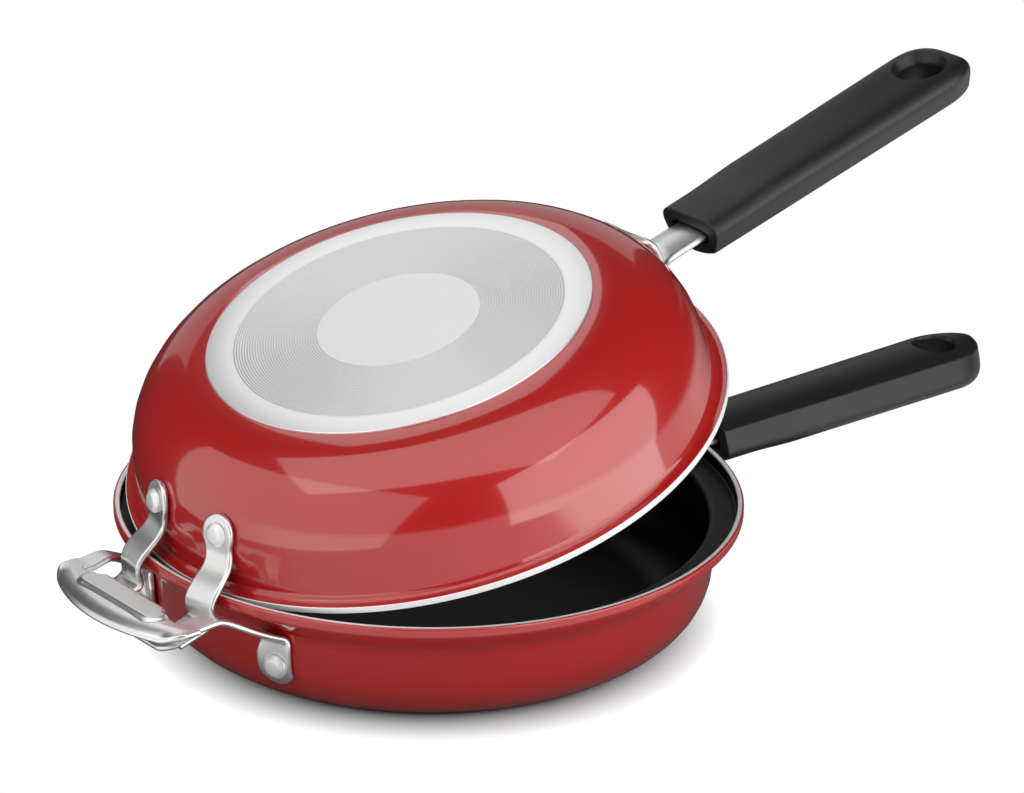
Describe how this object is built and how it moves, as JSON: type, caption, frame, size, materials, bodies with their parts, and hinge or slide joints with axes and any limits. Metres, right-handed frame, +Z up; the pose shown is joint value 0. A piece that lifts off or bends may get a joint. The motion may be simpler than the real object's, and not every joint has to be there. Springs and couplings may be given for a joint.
{
  "type": "frittata pan",
  "caption": "Two-piece frittata pan: two enamelled frying pans with long grips and interlocking helper handles. The upper one tilts open on the lower one's rim.",
  "frame": {"origin": "centre of the lower pan's base, on the surface that it stands on", "axes": "+X towards the long grips, -X towards the hinge, +Z up"},
  "size_m": [0.4778, 0.254, 0.1879],
  "materials": {
    "pan_shell": "pressed aluminium, red enamel outside, black non-stick inside, bare rim and base",
    "polished_steel": "pressed and polished stainless steel",
    "rivet": "satin rivet",
    "fastener_steel": "plated screw",
    "grip": "moulded phenolic"
  },
  "bodies": {
    "lower": {"lower_pan": "pan_shell", "lower_helper_handle": "polished_steel", "lower_handle_bracket": "polished_steel", "lower_grip": "grip", "lower_grip_screw": "fastener_steel", "lower_helper_rivet_left": "rivet", "lower_helper_rivet_right": "rivet", "lower_handle_rivet_left": "rivet", "lower_handle_rivet_right": "rivet"},
    "upper": {"upper_pan": "pan_shell", "upper_helper_handle": "polished_steel", "upper_handle_bracket": "polished_steel", "upper_grip": "grip", "upper_grip_screw": "fastener_steel", "upper_helper_rivet_left": "rivet", "upper_helper_rivet_right": "rivet", "upper_handle_rivet_left": "rivet", "upper_handle_rivet_right": "rivet"}
  },
  "joints": [
    {"name": "pan_hinge", "type": "hinge", "parent": "lower", "child": "upper", "pos_m": [-0.1222, 0, 0.05775], "axis": [0, -1, 0], "range_deg": [-16.2, 5.8]}
  ]
}
